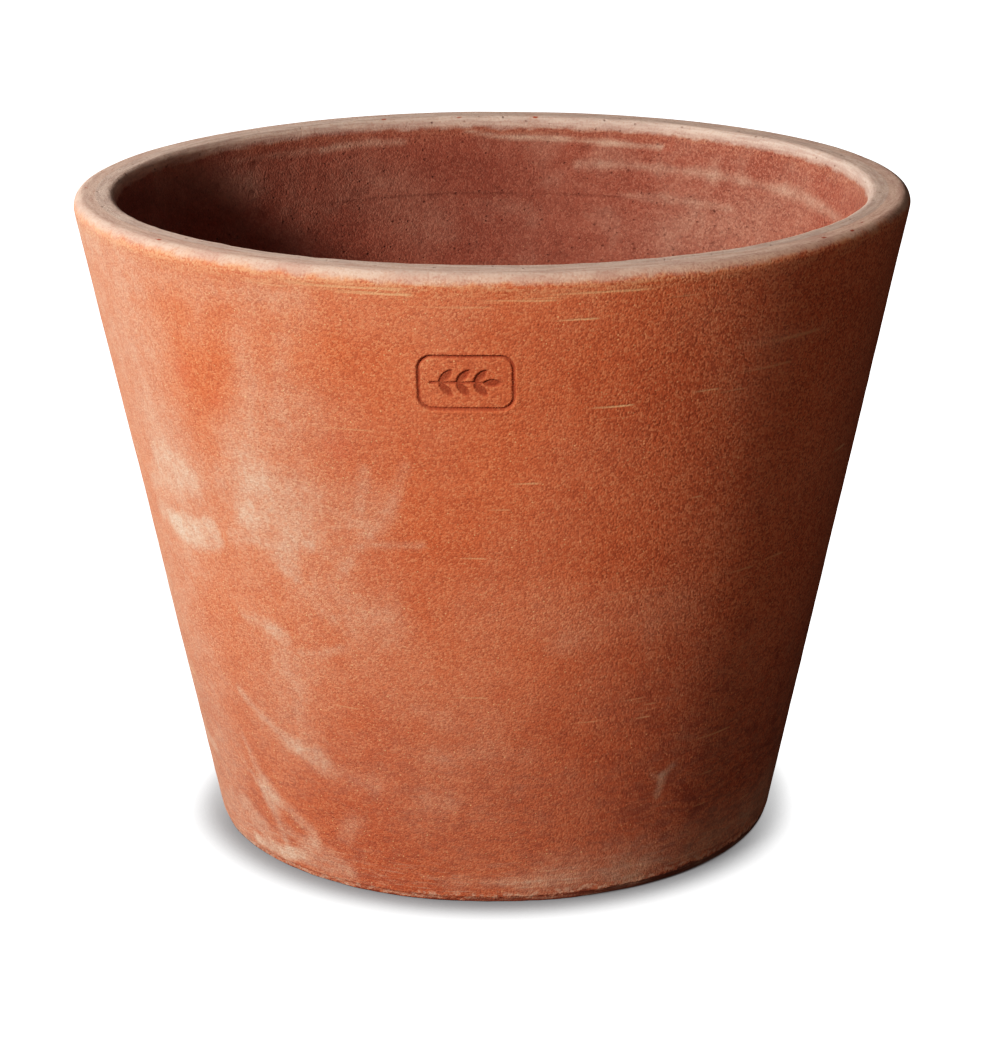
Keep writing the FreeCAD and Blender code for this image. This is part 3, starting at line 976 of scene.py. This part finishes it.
def grain_relief(n, clay, hole, scratch):
    """Bump of the grain, calmer on the lip, with the fine pits and the scratches cut in."""
    surface = n.centred(n.peel, clay.coarse * 2 * MM)
    grit_top = n.math("SUBTRACT", n.times(n.grit, 0.5), n.grit_distance)
    surface = n.plus(surface, n.times(grit_top, clay.fine * MM))
    surface = n.times(surface, n.span(n.above_band, -1.0, 4.0, 1.0, 0.4))
    surface = n.plus(surface, n.times(hole, -0.50 * MM))
    surface = n.plus(surface, n.times(scratch, -0.08 * MM))
    bump = n.add("ShaderNodeBump", {"Height": surface, "Distance": 1.0, "Strength": 1.0})
    return bump.outputs[0]


def clay_material(name, clay):
    """Unglazed clay, built up in layers from the body to the dirt on it."""
    material = bpy.data.materials.new(name)
    material.use_nodes = True
    n = ClayNodes(material.node_tree, clay)
    scratch = scratched(n, clay)
    hole = fine_pits(n, clay)
    body = clay_body(n, clay)
    body = darkened_below(n, body, clay)
    body = bloomed(n, body, clay)
    body = sanded(n, body, clay)
    body = n.mix(scratch, body, SCRATCH_BUFF)
    body = sponged_lip(n, body, clay)
    body = raw_foot(n, body)
    body = rubbed_and_scuffed(n, body, clay)
    body = shade_in_dents(n, body)
    # painted shade in the fine pits
    body = n.mix(n.times(hole, 0.35), body, DARK_SAND_AND_PIT_SHADE)
    shader = n.add("ShaderNodeBsdfPrincipled", {
        "Base Color": body,
        "Roughness": n.span(n.broken, 0.3, 0.7, 0.82, 0.96),
        "Normal": grain_relief(n, clay, hole, scratch),
        "Specular IOR Level": 0.25,
    })
    n.add("ShaderNodeOutputMaterial", {"Surface": shader.outputs[0]})
    return material


# ---- the pot ----
def fill_bevel(grid):
    """Move the foot's bevel out towards the full cone where little of it was torn away."""
    beveled = (ROW_ID >= PLACE["foot_edge"]) & (ROW_ID <= PLACE["foot_seam"])
    gap = np.where(beveled, outer(ROW_Z) - 0.4 * MM - ROW_R, 0).clip(0)
    left = by_angle(FOOT_BEVEL_LEFT) * (1 + 0.3 * lumps(BASE, 12 * MM, 10))
    out = gap[:, None] * (1 - left).clip(0, 1)
    grid[..., 0] += out * np.sin(TURN)
    grid[..., 1] -= out * np.cos(TURN)
    grid[..., 2] = np.maximum(grid[..., 2], 0)


def make_pot():
    raised, holes, stamped = relief()
    grid = placed(raised)
    fill_bevel(grid)
    more_bloom, more_scratches = random_marks()
    across, share = paint_scratches(SCRATCHES + more_scratches)
    paint = {
        "bloom": paint_bloom(BLOOM_AND_SHEEN + more_bloom, False) + paint_bloom(INSIDE_BLOOM, True),
        "red": paint_red(),
        "scratch_across": across,
        "scratch_share": share,
        "lip_height": paint_lip(),
        "foot_height": paint_foot(),
        "crease": paint_crease(),
        "pit": holes,
        "stamped": stamped,
    }
    clays = [clay_material(name, clay) for name, clay in CLAYS.items()]
    foot, rim_out = PLACE["foot_seam"], PLACE["rim_seam_out"]
    rim_in, last = PLACE["rim_seam_in"], len(ROW) - 1
    pieces = {
        "floor_slab": (list(range(0, foot + 1)), [0, foot], "floor_clay"),
        "wall": (list(range(foot, rim_out + 1)) + list(range(rim_in, last + 1)) + [0],
                 [0, foot, rim_out, rim_in], "wall_clay"),
        "rim": (list(range(rim_out, rim_in + 1)), [rim_out, rim_in], "rim_clay"),
    }
    for node, (rows, seams, slot) in pieces.items():
        piece = ring("clay_" + node, rows, grid, paint, clays, seams)
        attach(piece, "root")
        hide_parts(node)


# ---- studio ----
CAMERA_BEARING = 3.33          # the camera stands this far round from the seal
CAMERA_SIDE = 3.0 * MM
CAMERA_BACK = 1396.0 * MM
CAMERA_HEIGHT = 589.4 * MM
CAMERA_PITCH = 17.897          # degrees below level
CAMERA_ROLL = -0.27
CAMERA_LENS = 99.62            # on a 36 mm frame
SHADOW_GREY = colour(98, 98, 99)
CONTACT_SHADOW = colour(34, 24, 22)
FLOOR_GAP = 0.3 * MM            # keeps the floor off the flat underside
NEUTRAL = (1, 1, 1)
WARM = (1.0, 0.86, 0.72)
RESPONSE_POWER = 1.3            # contrast of the dark end of the view
RESPONSE_POINTS = (0.05, 0.1, 0.2, 0.3, 0.45, 0.6, 0.8)
FLOOR_HALF_SIDE = 30
FLOOR_GLOW = 1.4                # bright enough to be seen as white
FLOOR_PAPER = (0.12, 0.12, 0.12, 1)
WHITE = (1, 1, 1, 1)

# Lights: name, bearing from the camera's side, elevation, distance, width, height, power, tint.
LIGHTS = [
    ("key_light", -40, 25, 2.6, 0.40, 0.40, 62, NEUTRAL),
    ("left_fill", -108, 20, 2.2, 1.60, 1.60, 43, NEUTRAL),
    ("front_fill", 10, 4, 3.0, 1.80, 0.35, 15, WARM),
    ("top_light", 0, 88, 2.4, 1.60, 1.60, 3, NEUTRAL),
    ("back_fill", -150, 18, 3.0, 1.50, 1.50, 8, NEUTRAL),
]


def studio_camera():
    camera = bpy.data.objects.new("camera", bpy.data.cameras.new("camera"))
    bpy.context.scene.collection.objects.link(camera)
    camera.data.lens = CAMERA_LENS
    camera.data.sensor_width = 36
    camera.data.clip_start = 0.05
    camera.data.clip_end = 60
    turned = Matrix.Rotation(math.radians(CAMERA_BEARING), 4, "Z")
    placed_at = Matrix.Translation((CAMERA_SIDE, -CAMERA_BACK, CAMERA_HEIGHT))
    pitched = Matrix.Rotation(math.radians(90 - CAMERA_PITCH), 4, "X")
    rolled = Matrix.Rotation(math.radians(CAMERA_ROLL), 4, "Z")
    camera.matrix_world = turned @ placed_at @ pitched @ rolled
    bpy.context.scene.camera = camera


def studio_light(name, bearing, elevation, distance, width, height, power, tint):
    """Soft light that faces the middle of the pot."""
    lamp = bpy.data.lights.new(name, "AREA")
    lamp.shape = "RECTANGLE"
    lamp.size = width
    lamp.size_y = height
    lamp.energy = power
    lamp.color = tint
    light = bpy.data.objects.new(name, lamp)
    bpy.context.scene.collection.objects.link(light)
    a = math.radians(bearing + CAMERA_BEARING)
    e = math.radians(elevation)
    towards = Vector((math.sin(a) * math.cos(e), -math.cos(a) * math.cos(e), math.sin(e)))
    light.location = Vector((0, 0, HEIGHT / 2)) + towards * distance
    light.rotation_mode = "QUATERNION"
    light.rotation_quaternion = towards.to_track_quat("Z", "Y")


def studio_floor():
    """Pale glowing floor with a painted contact shadow that darkens softly where the pot stands
    close over it, most in front.
    """
    mesh = bpy.data.meshes.new("studio_floor")
    side = FLOOR_HALF_SIDE
    corners = [(-side, -side), (side, -side), (side, side), (-side, side)]
    mesh.from_pydata([(x, y, -FLOOR_GAP) for x, y in corners], [], [(0, 1, 2, 3)])
    floor = bpy.data.objects.new("studio_floor", mesh)
    bpy.context.scene.collection.objects.link(floor)
    material = bpy.data.materials.new("studio_floor")
    material.use_nodes = True
    n = Nodes(material.node_tree)
    place = n.add("ShaderNodeTexCoord").outputs["Object"]
    x, y, _ = n.add("ShaderNodeSeparateXYZ", {0: place}).outputs
    towards_back = n.math("SUBTRACT", y, n.span(x, -0.02, -0.12, 0.0, 0.025))
    reach = n.span(towards_back, -0.09, 0.01, 0.037, 0.025)
    near = n.add("ShaderNodeAmbientOcclusion", {"Distance": reach}, samples=24).outputs["AO"]
    grey = n.mix(n.span(towards_back, -0.09, 0.01, 0.0, 0.25), SHADOW_GREY, WHITE)
    shade = n.mix(n.span(near, 0.42, 0.97), grey, WHITE)
    # painted dark contact line where the foot stands over the floor, to the right of the seal
    line = n.times(n.span(near, 0.42, 0.26), n.span(x, 0.02, 0.09))
    shade = n.mix(line, shade, CONTACT_SHADOW)
    glow = n.add("ShaderNodeEmission", {"Color": shade, "Strength": FLOOR_GLOW})
    paper = n.add("ShaderNodeBsdfDiffuse", {"Color": FLOOR_PAPER})
    both = n.add("ShaderNodeAddShader", {0: glow.outputs[0], 1: paper.outputs[0]})
    n.add("ShaderNodeOutputMaterial", {"Surface": both.outputs[0]})
    mesh.materials.append(material)
    floor.visible_diffuse = False
    floor.visible_glossy = False


def studio_world():
    """White where it is seen, and a dim even light on the pot."""
    world = bpy.data.worlds.new("studio")
    bpy.context.scene.world = world
    world.use_nodes = True
    n = Nodes(world.node_tree)
    seen = n.add("ShaderNodeLightPath").outputs["Is Camera Ray"]
    dim = n.add("ShaderNodeBackground", {"Color": (1, 0.90, 0.82, 1), "Strength": 0.03})
    white = n.add("ShaderNodeBackground", {"Color": WHITE, "Strength": 1.0})
    both = n.add("ShaderNodeMixShader", {0: seen, 1: dim.outputs[0], 2: white.outputs[0]})
    n.add("ShaderNodeOutputWorld", {"Surface": both.outputs[0]})


def view_response():
    """Soft shoulder and a deep dark end for the view, as a curve and a gamma."""
    settings = bpy.context.scene.view_settings
    settings.view_transform = "Standard"
    settings.gamma = 1 / RESPONSE_POWER
    settings.use_curve_mapping = True
    curve = settings.curve_mapping.curves[3]
    for value in RESPONSE_POINTS:
        powered = value ** RESPONSE_POWER
        curve.points.new(value, (2 * powered / (1 + powered)) ** (1 / RESPONSE_POWER))
    settings.curve_mapping.update()


def studio():
    view_response()
    studio_camera()
    for light in LIGHTS:
        studio_light(*light)
    studio_floor()
    studio_world()


make_pot()
studio()
